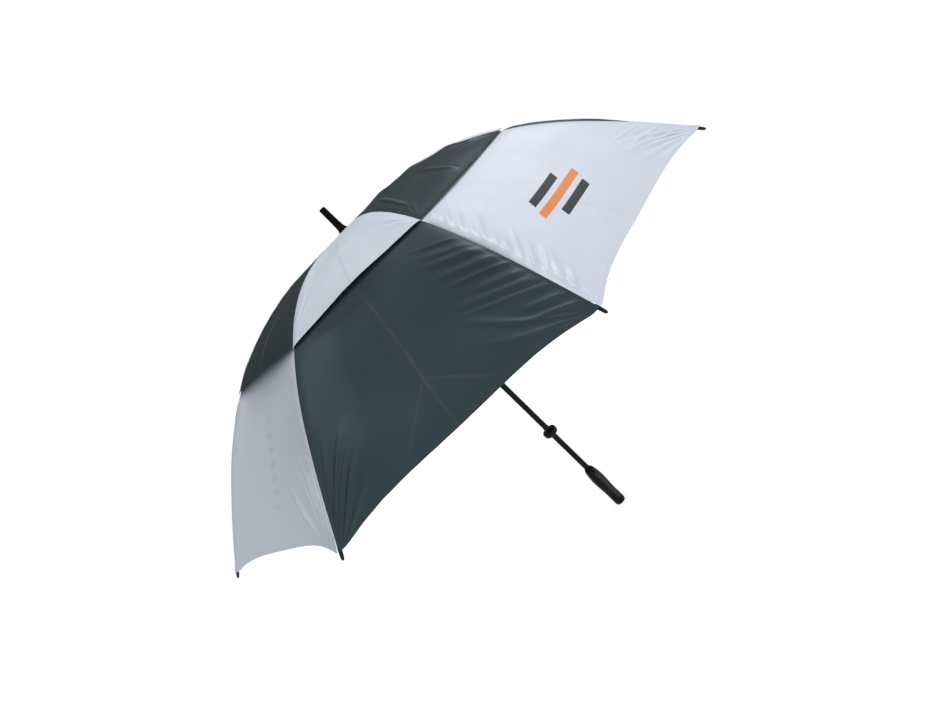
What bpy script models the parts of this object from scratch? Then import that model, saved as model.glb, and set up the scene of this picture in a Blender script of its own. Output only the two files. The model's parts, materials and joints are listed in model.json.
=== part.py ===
"""Vented golf umbrella, open, standing on the end of its handle. Metres, +Z up along the shaft.

The crown of the canopy is at CROWN_Z. Heights below the crown are written as depths, positive downwards.
Rib 0 points along +X and the others follow clockwise seen from above, one every 45 degrees.
Each rib is a rod in two lengths: the inner one hinges at the top notch and the outer one at the elbow.
"""

import math

import bmesh
import bpy
from mathutils import Matrix, Vector

MM = 0.001

RIB_COUNT = 8
SECTOR = 2 * math.pi / RIB_COUNT
CROWN_Z = 917.0

# Rib: slope in degrees below horizontal at lengths along the rod, in millimetres from the notch pivot.
RIB_SLOPES = ((0.0, -4.0), (150.0, 4.5), (397.5, 31.0), (562.0, 42.5), (750.0, 48.0))
RIB_LENGTH = 750.0
RIB_RADIUS = 1.9
RIB_ROOT_RADIUS = 12.0
RIB_ROOT_DEPTH = 7.5
ROOT_TONGUE_LENGTH = 16.0
ROOT_TONGUE_THICKNESS = 3.0
ELBOW_AT = 287.0
ELBOW_GAP = 0.7
ROD_IN_TIP = 6.0

# Stretcher: a flat bar from a fork under the rib to a slot in the runner.
FORK_AT = 275.0
FORK_DROP = 6.0
FORK_WIDTH = 6.6
FORK_SLOT = 3.7
PIN_RADIUS = 1.0
STRETCHER_LENGTH = 290.0
STRETCHER_HEIGHT = 4.0
STRETCHER_THICKNESS = 3.0

# Shaft and what is fixed on it.
SHAFT_RADIUS = 7.0
SHAFT_BORE = 6.0
SHAFT_TOP_DEPTH = 3.4
SHAFT_END_DEPTH = 899.0
FIT_GAP = 0.3
NOTCH_RADIUS = 17.0
NOTCH_WIRE_RADIUS = 0.8
SLOT_WIDTH = 3.7
UPPER_COLLAR_DEPTHS = (128.0, 142.6)
LOWER_COLLAR_DEPTH = 656.5
GRIP_TOP_DEPTH = 795.5

# Runner.
RUNNER_PIVOT_RADIUS = 14.0
RUNNER_BORE = 7.35
RUNNER_HEAD_RADIUS = 17.5
RUNNER_BARREL_RADIUS = 10.4
RUNNER_LENGTH_BELOW_PIVOT = 66.0
BUTTON_ANGLE = -SECTOR / 2
BUTTON_DROP = 43.0

# Canopy.
MAIN_START = 350.0
MAIN_END = 749.0
HEM_SAG = 17.0
HEM_FLATNESS = 4.0
VENT_END = 397.5
MAIN_OFFSET = 2.6
VENT_OFFSET = 3.7
CLOTH_THICKNESS = 0.7
SEAM_GAP = 0.34

TIP_START = 750.5
TIP_LENGTH = 15.0

MATERIALS = {
    "dark_cloth": ((0.045, 0.066, 0.072, 1.0), 0.62, 0.0),
    "white_cloth": ((0.72, 0.76, 0.83, 1.0), 0.6, 0.0),
    "black_plastic": ((0.012, 0.012, 0.013, 1.0), 0.3, 0.0),
    "black_rod": ((0.015, 0.015, 0.016, 1.0), 0.35, 0.0),
    "black_paint": ((0.01, 0.01, 0.011, 1.0), 0.28, 0.0),
    "black_rubber": ((0.018, 0.018, 0.018, 1.0), 0.55, 0.0),
    "steel_wire": ((0.56, 0.56, 0.57, 1.0), 0.3, 1.0),
}


def clear_scene():
    for item in list(bpy.data.objects):
        bpy.data.objects.remove(item, do_unlink=True)


def make_materials():
    made = {}
    for name, (colour, roughness, metallic) in MATERIALS.items():
        material = bpy.data.materials.new(name)
        material.use_nodes = True
        shader = material.node_tree.nodes["Principled BSDF"]
        shader.inputs["Base Color"].default_value = colour
        shader.inputs["Roughness"].default_value = roughness
        shader.inputs["Metallic"].default_value = metallic
        material.diffuse_color = colour
        made[name] = material
    return made


def depth_to_z(depth):
    return CROWN_Z - depth


def make_mesh(name, vertices, faces):
    """A mesh in metres from points in millimetres, with its faces turned outwards."""
    mesh = bpy.data.meshes.new(name)
    mesh.from_pydata([tuple(c * MM for c in v) for v in vertices], [], faces)
    work = bmesh.new()
    work.from_mesh(mesh)
    bmesh.ops.recalc_face_normals(work, faces=work.faces)
    work.to_mesh(mesh)
    work.free()
    return mesh


def lathe_mesh(name, profile, steps, closed=False):
    """Turns a profile of (radius, z) about Z. A closed profile is a ring; an open one ends on the axis."""
    vertices = []
    rings = []
    for radius, z in profile:
        if radius == 0:
            rings.append([len(vertices)])
            vertices.append((0.0, 0.0, z))
            continue
        rings.append(list(range(len(vertices), len(vertices) + steps)))
        for k in range(steps):
            angle = 2 * math.pi * k / steps
            vertices.append((radius * math.cos(angle), radius * math.sin(angle), z))
    pairs = list(zip(rings, rings[1:]))
    if closed:
        pairs.append((rings[-1], rings[0]))
    faces = []
    for lower, upper in pairs:
        for k in range(steps):
            following = (k + 1) % steps
            if len(lower) == 1:
                faces.append((lower[0], upper[k], upper[following]))
            elif len(upper) == 1:
                faces.append((lower[k], lower[following], upper[0]))
            else:
                faces.append((lower[k], lower[following], upper[following], upper[k]))
    return make_mesh(name, vertices, faces)


def prism_mesh(name, outline, half_width):
    """An outline of (x, z) points, extruded along Y to both sides."""
    count = len(outline)
    vertices = [(x, -half_width, z) for x, z in outline]
    vertices += [(x, half_width, z) for x, z in outline]
    faces = [tuple(range(count)), tuple(range(2 * count - 1, count - 1, -1))]
    for k in range(count):
        following = (k + 1) % count
        faces.append((k, following, count + following, count + k))
    return make_mesh(name, vertices, faces)


def sweep_mesh(name, stations, radius, sides):
    """A rod along stations of (x, z, slope) in the XZ plane, closed at both ends."""
    vertices = []
    for x, z, slope in stations:
        up = (math.sin(slope), math.cos(slope))
        for k in range(sides):
            angle = 2 * math.pi * (k + 0.5) / sides
            across = radius * math.sin(angle)
            rise = radius * math.cos(angle)
            vertices.append((x + rise * up[0], across, z + rise * up[1]))
    faces = [tuple(range(sides)), tuple(range(len(vertices) - 1, len(vertices) - sides - 1, -1))]
    for ring in range(len(stations) - 1):
        base = ring * sides
        for k in range(sides):
            following = (k + 1) % sides
            faces.append((base + k, base + following, base + sides + following, base + sides + k))
    return make_mesh(name, vertices, faces)


def pin_mesh(name, x, z, radius, half_length, sides=12):
    """A round pin along Y."""
    outline = []
    for k in range(sides):
        angle = 2 * math.pi * (k + 0.5) / sides
        outline.append((x + radius * math.cos(angle), z + radius * math.sin(angle)))
    return prism_mesh(name, outline, half_length)


def box_mesh(name, low, high):
    corners = [(x, y, z) for z in (low[2], high[2]) for y in (low[1], high[1]) for x in (low[0], high[0])]
    faces = [(0, 1, 3, 2), (4, 6, 7, 5), (0, 4, 5, 1), (2, 3, 7, 6), (0, 2, 6, 4), (1, 5, 7, 3)]
    return make_mesh(name, corners, faces)


def join_solids(base, tools):
    """Applies a list of ("UNION" or "DIFFERENCE", mesh) to the base mesh and gives back one mesh."""
    holder = bpy.data.objects.new("solid_in_work", base)
    bpy.context.scene.collection.objects.link(holder)
    for operation, tool_mesh in tools:
        tool = bpy.data.objects.new("tool_in_work", tool_mesh)
        bpy.context.scene.collection.objects.link(tool)
        step = holder.modifiers.new("cut", "BOOLEAN")
        step.operation = operation
        step.solver = "EXACT"
        step.object = tool
        bpy.context.view_layer.update()
        depsgraph = bpy.context.evaluated_depsgraph_get()
        result = bpy.data.meshes.new_from_object(holder.evaluated_get(depsgraph))
        holder.modifiers.clear()
        holder.data = result
        bpy.data.objects.remove(tool, do_unlink=True)
    mesh = holder.data
    bpy.data.objects.remove(holder, do_unlink=True)
    work = bmesh.new()
    work.from_mesh(mesh)
    bmesh.ops.remove_doubles(work, verts=work.verts, dist=0.000005)
    bmesh.ops.recalc_face_normals(work, faces=work.faces)
    work.to_mesh(mesh)
    work.free()
    return mesh


class Builder:
    """Puts named objects into the umbrella's collection."""

    def __init__(self):
        self.materials = make_materials()
        self.collection = bpy.data.collections.new("golf_umbrella")
        bpy.context.scene.collection.children.link(self.collection)

    def add_pivot(self, name, position, angle, parent=None):
        """An empty on a joint's axis, turned so that its Y axis is the joint's axis."""
        pivot = bpy.data.objects.new(name, None)
        pivot.empty_display_size = 0.01
        self.collection.objects.link(pivot)
        world = Matrix.Translation(Vector(position) * MM) @ Matrix.Rotation(angle, 4, "Z")
        if parent is not None:
            pivot.parent = parent
            bpy.context.view_layer.update()
        pivot.matrix_world = world
        bpy.context.view_layer.update()
        return pivot

    def add(self, name, mesh, material, place=None, angle=0.0, pivot=None, crease=35.0):
        """Adds a mesh, moved in its own XZ frame by place and turned about Z by angle."""
        mesh.name = name
        mesh.materials.clear()
        mesh.materials.append(self.materials[material])
        part = bpy.data.objects.new(name, mesh)
        self.collection.objects.link(part)
        mesh.shade_smooth()
        mesh.set_sharp_from_angle(angle=math.radians(crease))
        world = Matrix.Rotation(angle, 4, "Z") @ (place or Matrix.Identity(4))
        if pivot is not None:
            part.parent = pivot
            bpy.context.view_layer.update()
        part.matrix_world = world
        bpy.context.view_layer.update()
        return part


# Rib geometry.


def rib_station(along):
    """(x, z, slope) of the rod's centre line at a length along it, in millimetres and radians."""
    x = RIB_ROOT_RADIUS
    z = depth_to_z(RIB_ROOT_DEPTH)
    slope = math.radians(RIB_SLOPES[0][1])
    for (start, first), (end, last) in zip(RIB_SLOPES, RIB_SLOPES[1:]):
        if along <= start:
            break
        length = min(along, end) - start
        bend = math.radians(last - first) / (end - start)
        begin = math.radians(first)
        slope = begin + bend * length
        x += (math.sin(slope) - math.sin(begin)) / bend
        z -= (math.cos(begin) - math.cos(slope)) / bend
    beyond = max(0.0, along - RIB_LENGTH)
    return x + beyond * math.cos(slope), z - beyond * math.sin(slope), slope


def rib_point(along, offset=0.0):
    """A point above or below the rod's centre line, as (x, z)."""
    x, z, slope = rib_station(along)
    return x + offset * math.sin(slope), z + offset * math.cos(slope)


def rib_angle(index):
    return -index * SECTOR


def turned(x, z, angle):
    """A point of the rib plane at an angle about the shaft."""
    return x * math.cos(angle), x * math.sin(angle), z


def spread(first, last, count):
    return [first + (last - first) * k / count for k in range(count + 1)]


def round_end(centre, radius, start, sweep, count):
    """Points of an arc in the XZ plane, angles in degrees."""
    points = []
    for k in range(count + 1):
        angle = math.radians(start + sweep * k / count)
        points.append((centre[0] + radius * math.cos(angle), centre[1] + radius * math.sin(angle)))
    return points


def inner_rib_mesh():
    """The inner rod, its flat root with an eye for the notch wire, and the fork under it with its pin."""
    root_x, root_z, _ = rib_station(0.0)
    rod = sweep_mesh("rod", [rib_station(s) for s in spread(11.0, ELBOW_AT - ELBOW_GAP, 9)], RIB_RADIUS, 8)
    tongue_end = root_x + ROOT_TONGUE_LENGTH
    tongue = round_end((root_x, root_z), 2.9, 90, 180, 6)
    tongue += [(tongue_end, root_z - 1.3), (tongue_end, root_z + 2.6)]
    fork_x, fork_z, slope = rib_station(FORK_AT)
    turn = Matrix.Rotation(slope, 4, "Y")
    block = [(-5.0, 2.5), (-5.0, -2.6)] + round_end((0.0, -FORK_DROP), 2.9, 180, 180, 6)
    block += [(5.0, -2.6), (5.0, 2.5)]
    fork = join_solids(
        prism_mesh("fork", block, FORK_WIDTH / 2),
        [
            ("DIFFERENCE", box_mesh("slot", (-9, -FORK_SLOT / 2, -20), (9, FORK_SLOT / 2, -2.4))),
            ("UNION", pin_mesh("pin", 0.0, -FORK_DROP, PIN_RADIUS, FORK_WIDTH / 2 - 0.6, 8)),
        ],
    )
    fork.transform(Matrix.Translation((fork_x * MM, 0, fork_z * MM)) @ turn)
    return join_solids(
        rod,
        [
            ("UNION", prism_mesh("tongue", tongue, ROOT_TONGUE_THICKNESS / 2)),
            ("DIFFERENCE", pin_mesh("eye", root_x, root_z, NOTCH_WIRE_RADIUS + 0.4, 4.0, 8)),
            ("UNION", fork),
        ],
    )


def outer_rib_mesh():
    stations = [rib_station(s) for s in spread(ELBOW_AT + ELBOW_GAP, RIB_LENGTH + ROD_IN_TIP, 11)]
    return sweep_mesh("outer_rib", stations, RIB_RADIUS, 8)


def rib_tip_mesh():
    """A blunt cap over the end of the rod, turned about its own Z, which later lies along the rod."""
    socket = RIB_LENGTH + ROD_IN_TIP + 0.5 - TIP_START
    profile = [
        (0.0, socket),
        (RIB_RADIUS + 0.35, socket),
        (RIB_RADIUS + 0.35, 0.0),
        (3.1, 0.0),
        (3.5, 2.5),
        (3.4, TIP_LENGTH - 6.0),
        (2.6, TIP_LENGTH - 1.6),
        (1.2, TIP_LENGTH),
        (0.0, TIP_LENGTH),
    ]
    return lathe_mesh("rib_tip", profile, 10)


def fork_pivot():
    return rib_point(FORK_AT, -FORK_DROP)


def runner_pivot():
    """Where the stretchers meet the open runner, as (radius, z)."""
    x, z = fork_pivot()
    reach = x - RUNNER_PIVOT_RADIUS
    return RUNNER_PIVOT_RADIUS, z - math.sqrt(STRETCHER_LENGTH**2 - reach**2)


def stretcher_mesh():
    """A flat bar with round ends and an eye for the fork's pin."""
    outer_x, outer_z = fork_pivot()
    inner_x, inner_z = runner_pivot()
    lean = math.degrees(math.atan2(outer_z - inner_z, outer_x - inner_x))
    outline = round_end((outer_x, outer_z), 2.7, lean - 110, 220, 6)
    outline += round_end((inner_x, inner_z), STRETCHER_HEIGHT / 2 + 0.3, lean + 110, 140, 5)
    bar = prism_mesh("bar", outline, STRETCHER_THICKNESS / 2)
    eye = pin_mesh("eye", outer_x, outer_z, PIN_RADIUS + 0.4, 4.0, 8)
    return join_solids(bar, [("DIFFERENCE", eye)])


# Canopy.


def panel_mesh(name, starts, ends, offset, across, along):
    """A sheet between two neighbouring ribs, made in rib 0's frame and reaching clockwise to rib 1.
    starts and ends give the length along the rib for each share u of the way across."""
    layers = []
    for lift in (offset, offset + CLOTH_THICKNESS):
        layer = []
        for i in range(across + 1):
            share = i / across
            for s in spread(starts(share), ends(share), along):
                x, z = rib_point(s, lift)
                width = 2 * x * math.sin(SECTOR / 2)
                margin = SEAM_GAP / 2 / width
                u = margin + share * (1 - 2 * margin)
                near = Vector(turned(x, z, 0.0))
                far = Vector(turned(x, z, -SECTOR))
                layer.append(tuple(near.lerp(far, u)))
        layers.append(layer)
    count = len(layers[0])
    vertices = layers[0] + layers[1]
    faces = []
    for i in range(across):
        for j in range(along):
            a = i * (along + 1) + j
            b = a + along + 1
            faces.append((a, b, b + 1, a + 1))
            faces.append((count + a, count + a + 1, count + b + 1, count + b))
    rim = [j for j in range(along + 1)]
    rim += [i * (along + 1) + along for i in range(1, across + 1)]
    rim += [across * (along + 1) + j for j in range(along - 1, -1, -1)]
    rim += [i * (along + 1) for i in range(across - 1, 0, -1)]
    for k, a in enumerate(rim):
        b = rim[(k + 1) % len(rim)]
        faces.append((a, b, count + b, count + a))
    return make_mesh(name, vertices, faces)


def hem_end(share):
    return MAIN_END - HEM_SAG * (1 - abs(2 * share - 1) ** HEM_FLATNESS)


def main_panel_mesh():
    return panel_mesh("main_panel", lambda u: MAIN_START, hem_end, MAIN_OFFSET, 6, 7)


def vent_panel_mesh():
    return panel_mesh("vent_panel", lambda u: 0.6, lambda u: VENT_END, VENT_OFFSET, 2, 9)


# Shaft parts.


def shaft_mesh():
    top = depth_to_z(SHAFT_TOP_DEPTH)
    end = depth_to_z(SHAFT_END_DEPTH)
    return lathe_mesh(
        "shaft", [(SHAFT_RADIUS, top), (SHAFT_RADIUS, end), (SHAFT_BORE, end), (SHAFT_BORE, top)], 20, closed=True
    )


def finial_mesh():
    """The long black ferrule, with a flared base on the canopy and a spigot inside the shaft."""
    base = depth_to_z(2.6)
    spigot = SHAFT_BORE - FIT_GAP
    profile = [
        (0.0, CROWN_Z + 65.0),
        (4.2, CROWN_Z + 65.0),
        (5.9, CROWN_Z + 63.4),
        (6.3, CROWN_Z + 60.5),
        (7.6, CROWN_Z + 14.0),
        (9.2, CROWN_Z + 9.0),
        (12.6, CROWN_Z + 1.6),
        (12.6, base),
        (spigot, base),
        (spigot, base - 24.0),
        (0.0, base - 24.0),
    ]
    return lathe_mesh("finial", profile, 20)


def slots_to_cut(inner_radius, low, high):
    """Eight radial slots, one in each rib's plane."""
    cuts = []
    for k in range(RIB_COUNT):
        slot = box_mesh("slot", (inner_radius, -SLOT_WIDTH / 2, low), (40.0, SLOT_WIDTH / 2, high))
        slot.transform(Matrix.Rotation(rib_angle(k), 4, "Z"))
        cuts.append(("DIFFERENCE", slot))
    return cuts


def top_notch_mesh():
    """The hub that the ribs' roots turn in: eight slots and an open groove for the wire."""
    bore = SHAFT_RADIUS + FIT_GAP
    pivot_z = depth_to_z(RIB_ROOT_DEPTH)
    top = pivot_z + 3.2
    groove_floor = pivot_z - NOTCH_WIRE_RADIUS - 0.35
    groove_inner = RIB_ROOT_RADIUS - NOTCH_WIRE_RADIUS - 0.35
    groove_outer = RIB_ROOT_RADIUS + NOTCH_WIRE_RADIUS + 0.35
    bottom = pivot_z - 5.5
    profile = [
        (bore, top),
        (groove_inner, top),
        (groove_inner, groove_floor),
        (groove_outer, groove_floor),
        (groove_outer, top),
        (NOTCH_RADIUS - 0.8, top),
        (NOTCH_RADIUS, top - 0.8),
        (NOTCH_RADIUS, bottom),
        (NOTCH_RADIUS - 3.0, bottom),
        (9.6, bottom - 9.0),
        (bore, bottom - 9.0),
    ]
    hub = lathe_mesh("top_notch", profile, 24, closed=True)
    return join_solids(hub, slots_to_cut(8.7, bottom - 12.0, top + 5.0))


def notch_wire_mesh():
    section = []
    for k in range(6):
        angle = 2 * math.pi * k / 6
        radius = RIB_ROOT_RADIUS + NOTCH_WIRE_RADIUS * math.cos(angle)
        section.append((radius, depth_to_z(RIB_ROOT_DEPTH) + NOTCH_WIRE_RADIUS * math.sin(angle)))
    return lathe_mesh("notch_wire", section, 24, closed=True)


def upper_collar_mesh():
    top, end = (depth_to_z(d) for d in UPPER_COLLAR_DEPTHS)
    bore = SHAFT_RADIUS + FIT_GAP
    profile = [(bore, top), (9.4, top), (10.6, top - 1.5), (10.6, end), (bore, end)]
    return lathe_mesh("upper_collar", profile, 20, closed=True)


def lower_collar_mesh():
    """Neck, round flange, neck."""
    middle = depth_to_z(LOWER_COLLAR_DEPTH)
    bore = SHAFT_RADIUS + FIT_GAP
    half = [(10.2, 15.2), (10.9, 8.0), (14.8, 5.6), (17.4, 2.9)]
    profile = [(bore, middle + 15.2)]
    profile += [(radius, middle + z) for radius, z in half]
    profile += [(radius, middle - z) for radius, z in reversed(half)]
    profile += [(bore, middle - 15.2)]
    return lathe_mesh("lower_collar", profile, 20, closed=True)


def grip_mesh():
    """The moulded grip: a slim neck, a swell at a third of its length, a waist and a blunt end."""
    bore = SHAFT_RADIUS + FIT_GAP
    bore_end = depth_to_z(SHAFT_END_DEPTH) - FIT_GAP
    top = depth_to_z(GRIP_TOP_DEPTH)
    profile = [
        (0.0, bore_end),
        (bore, bore_end),
        (bore, top),
        (10.4, top),
        (12.4, top - 5.0),
        (14.9, top - 22.0),
        (15.3, top - 36.0),
        (14.4, top - 54.0),
        (13.3, top - 74.0),
        (13.3, top - 90.0),
        (14.2, top - 104.0),
        (14.4, 9.0),
        (13.2, 3.0),
        (10.5, 0.0),
        (0.0, 0.0),
    ]
    return lathe_mesh("grip", profile, 24)


def runner_mesh():
    """The sliding runner: a slotted head, a slim barrel and a small housing for the push button."""
    _, pivot_z = runner_pivot()
    end = pivot_z - RUNNER_LENGTH_BELOW_PIVOT
    profile = [
        (RUNNER_BORE, pivot_z + 5.0),
        (RUNNER_HEAD_RADIUS - 1.0, pivot_z + 5.0),
        (RUNNER_HEAD_RADIUS, pivot_z + 4.0),
        (RUNNER_HEAD_RADIUS, pivot_z - 4.0),
        (RUNNER_BARREL_RADIUS, pivot_z - 5.5),
        (RUNNER_BARREL_RADIUS, end + 8.0),
        (13.0, end + 6.0),
        (13.0, end + 1.0),
        (12.0, end),
        (RUNNER_BORE, end),
    ]
    barrel = lathe_mesh("runner", profile, 24, closed=True)
    button_z = pivot_z - BUTTON_DROP
    housing = box_mesh("housing", (8.4, -4.0, button_z - 8.0), (15.6, 4.0, button_z + 8.0))
    pocket = box_mesh("pocket", (9.0, -2.8, button_z - 5.3), (20.0, 2.8, button_z + 5.3))
    turn = Matrix.Rotation(BUTTON_ANGLE, 4, "Z")
    housing.transform(turn)
    pocket.transform(turn)
    tools = [("UNION", housing), ("DIFFERENCE", pocket)]
    tools += slots_to_cut(10.7, pivot_z - 12.0, pivot_z + 10.0)
    return join_solids(barrel, tools)


def button_mesh():
    """The push button, made along +X from its back face to its rounded front."""
    outline = [(12.9, -5.0), (16.2, -5.0), (17.4, -3.2), (17.4, 3.2), (16.2, 5.0), (12.9, 5.0)]
    return prism_mesh("button", outline, 2.5)


def spring_mesh():
    """A short coil spring along X, behind the button."""
    turns = 2.5
    steps_per_turn = 8
    sides = 5
    wire = 0.28
    coil = 1.6
    start, end = 9.3 + wire, 12.6 - wire
    count = int(turns * steps_per_turn)
    vertices = []
    for k in range(count + 1):
        angle = 2 * math.pi * k / steps_per_turn
        x = start + (end - start) * k / count
        for m in range(sides):
            turn = 2 * math.pi * m / sides
            radius = coil + wire * math.cos(turn)
            vertices.append((x + wire * math.sin(turn), radius * math.cos(angle), radius * math.sin(angle)))
    faces = [tuple(range(sides)), tuple(range(count * sides, (count + 1) * sides))]
    for k in range(count):
        for m in range(sides):
            following = (m + 1) % sides
            a = k * sides
            b = a + sides
            faces.append((a + m, a + following, b + following, b + m))
    return make_mesh("spring", vertices, faces)


def add_shaft_parts(builder):
    builder.add("shaft_tube", shaft_mesh(), "black_paint")
    builder.add("finial", finial_mesh(), "black_plastic")
    builder.add("top_notch", top_notch_mesh(), "black_plastic")
    builder.add("notch_wire", notch_wire_mesh(), "steel_wire")
    builder.add("upper_stop_collar", upper_collar_mesh(), "black_plastic")
    builder.add("lower_stop_collar", lower_collar_mesh(), "black_plastic")
    builder.add("handle_grip", grip_mesh(), "black_rubber")


def add_runner(builder):
    _, pivot_z = runner_pivot()
    slide = builder.add_pivot("runner_slide_pivot", (0.0, 0.0, pivot_z), 0.0)
    builder.add("runner", runner_mesh(), "black_plastic", pivot=slide)
    button_z = pivot_z - BUTTON_DROP
    lift = Matrix.Translation((0, 0, button_z * MM))
    push = builder.add_pivot("button_pivot", turned(12.9, button_z, BUTTON_ANGLE), BUTTON_ANGLE, slide)
    builder.add("runner_button", button_mesh(), "black_plastic", place=lift, angle=BUTTON_ANGLE, pivot=push)
    builder.add("button_spring", spring_mesh(), "steel_wire", place=lift, angle=BUTTON_ANGLE, pivot=slide)


def add_ribs(builder):
    """Eight inner ribs on the notch, each with an outer rib, a tip and a stretcher."""
    inner_master = inner_rib_mesh()
    outer_master = outer_rib_mesh()
    tip_master = rib_tip_mesh()
    stretcher_master = stretcher_mesh()
    root_x, root_z = rib_point(0.0)
    elbow_x, elbow_z = rib_point(ELBOW_AT)
    fork_x, fork_z = fork_pivot()
    tip_x, tip_z, slope = rib_station(TIP_START)
    along_rod = Matrix.Translation((tip_x * MM, 0, tip_z * MM)) @ Matrix.Rotation(math.pi / 2 + slope, 4, "Y")
    for k in range(RIB_COUNT):
        angle = rib_angle(k)
        root = builder.add_pivot(f"rib_root_pivot_{k}", turned(root_x, root_z, angle), angle)
        elbow = builder.add_pivot(f"elbow_pivot_{k}", turned(elbow_x, elbow_z, angle), angle, root)
        fork = builder.add_pivot(f"fork_pivot_{k}", turned(fork_x, fork_z, angle), angle, root)
        builder.add(f"rib_inner_{k}", inner_master.copy(), "black_rod", angle=angle, pivot=root)
        builder.add(f"rib_outer_{k}", outer_master.copy(), "black_rod", angle=angle, pivot=elbow)
        builder.add(f"rib_tip_{k}", tip_master.copy(), "black_plastic", along_rod, angle, elbow)
        builder.add(f"stretcher_{k}", stretcher_master.copy(), "black_paint", angle=angle, pivot=fork)


def add_canopy(builder):
    """Main panels alternate white and dark, starting white between ribs 0 and 1; the vent panels are swapped."""
    main_master = main_panel_mesh()
    vent_master = vent_panel_mesh()
    squeeze = math.cos(SECTOR / 2)
    root_x, root_z = rib_point(0.0)
    fold_x, fold_z = rib_point(ELBOW_AT)
    for k in range(RIB_COUNT):
        angle = rib_angle(k)
        middle = angle - SECTOR / 2
        cloths = ("white_cloth", "dark_cloth") if k % 2 == 0 else ("dark_cloth", "white_cloth")
        crown = builder.add_pivot(f"vent_pivot_{k}", turned(root_x * squeeze, root_z, middle), middle)
        fold = builder.add_pivot(f"main_pivot_{k}", turned(fold_x * squeeze, fold_z, middle), middle, crown)
        builder.add(f"vent_panel_{k}", vent_master.copy(), cloths[1], angle=angle, pivot=crown)
        builder.add(f"main_panel_{k}", main_master.copy(), cloths[0], angle=angle, pivot=fold)


def build():
    clear_scene()
    builder = Builder()
    add_shaft_parts(builder)
    add_runner(builder)
    add_ribs(builder)
    add_canopy(builder)


build()
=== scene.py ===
"""Looks of the vented golf umbrella: stretched cloth with its seams and folds, moulded black fittings,
the ribs and shaft, a plain pale studio and the camera.

Lengths that describe the umbrella are in millimetres and become metres when a mesh is made.
Rib 0 points along +X; panel k lies between rib k and rib k + 1, going clockwise seen from above.
"""

import json
import math

import bmesh
import bpy
import numpy as np
from mathutils import Matrix, Vector

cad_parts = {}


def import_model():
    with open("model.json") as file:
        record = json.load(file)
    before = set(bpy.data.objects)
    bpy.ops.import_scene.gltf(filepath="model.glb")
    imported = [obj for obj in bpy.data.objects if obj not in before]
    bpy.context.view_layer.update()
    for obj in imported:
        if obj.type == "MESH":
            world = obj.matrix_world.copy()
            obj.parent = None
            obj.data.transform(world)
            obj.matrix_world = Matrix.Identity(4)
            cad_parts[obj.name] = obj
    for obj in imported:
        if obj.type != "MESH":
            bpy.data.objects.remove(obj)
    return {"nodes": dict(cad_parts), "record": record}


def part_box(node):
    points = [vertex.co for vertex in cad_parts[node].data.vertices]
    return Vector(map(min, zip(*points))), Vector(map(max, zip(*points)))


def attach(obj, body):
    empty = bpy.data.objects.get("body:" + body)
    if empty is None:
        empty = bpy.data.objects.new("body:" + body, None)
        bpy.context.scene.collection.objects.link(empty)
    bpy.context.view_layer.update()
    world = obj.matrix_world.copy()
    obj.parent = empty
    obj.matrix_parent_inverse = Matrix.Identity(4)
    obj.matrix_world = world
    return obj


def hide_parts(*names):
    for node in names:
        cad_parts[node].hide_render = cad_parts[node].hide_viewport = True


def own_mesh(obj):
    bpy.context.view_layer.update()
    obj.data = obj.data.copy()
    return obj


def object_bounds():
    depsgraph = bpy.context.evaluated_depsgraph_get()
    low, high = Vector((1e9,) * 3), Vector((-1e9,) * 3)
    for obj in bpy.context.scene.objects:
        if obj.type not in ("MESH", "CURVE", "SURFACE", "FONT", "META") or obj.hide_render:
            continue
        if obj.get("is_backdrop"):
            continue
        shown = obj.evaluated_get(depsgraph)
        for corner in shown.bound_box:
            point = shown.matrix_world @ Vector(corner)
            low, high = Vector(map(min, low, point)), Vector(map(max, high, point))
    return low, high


MM = 0.001
PANELS = 8
SECTOR = 2 * math.pi / PANELS
HALF_SECTOR = SECTOR / 2

# The canopy's frame, as in the CAD. A rib starts ROOT_RADIUS out from the shaft and ROOT_DEPTH below the
# crown. Places along it are lengths from there, and its slope is given in degrees below level.
CROWN = 917.0
ROOT_RADIUS = 12.0
ROOT_DEPTH = 7.5
SLOPE_AT = (0.0, 150.0, 397.5, 562.0, 750.0)
SLOPE_DEGREES = (-4.0, 4.5, 31.0, 42.5, 48.0)
ELBOW_AT = 287.0
VENT_END = 397.5
VENT_START = 0.8
MAIN_START = 344.0
MAIN_END = 759.5
TIP_START = 744.0
TIP_END = 765.5
BUTTON_ANGLE = -HALF_SECTOR

# Cloth. The offsets are how far it stands off the rib's line, more at the pocket that holds a rib tip.
MAIN_OFFSET = 2.9
VENT_OFFSET = 4.1
POCKET_OFFSET = 1.6
POCKET_FROM = 728.0
# Where the hem's corners end, how far its middle lies above them, and how sharply it bends.
CORNER_END = 753.5
CORNER_SOFTNESS = 1.5
HEM_SAG = 27.5
HEM_FLATNESS = 4.0
HEM_BAND = 9.0
PANEL_SAG = 13.0
SEAM_HEIGHT = 0.5
SEAM_WIDTH = 2.6
# A panel is this share of its sector's width, which leaves a hair between neighbours.
PANEL_SHARE = 0.9996
EDGE_POWER = 1.35
WAVE_COUNT = 14
# The row of dimples down a pressed crease.
DIMPLE_SPACING = 27.0
DIMPLE_SHIFT = 6.0
DIMPLE_LENGTH = 6.0
DIMPLE_WIDTH = 16.0
# The dip and the fold of a dark vent panel, and the swells beside the seam over rib 0.
DIP_DEPTH = 4.5
FOLD_LIFT = 3.2
SWELL_LIFT = 3.5
SWELL_SPACING = 89.0
SWELL_AT = 288.0
# How much of a sheet's width is left when the umbrella is closed.
FOLDED_SHARE_SKIRT = 0.125
FOLDED_SHARE_VENT = 0.17

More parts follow.
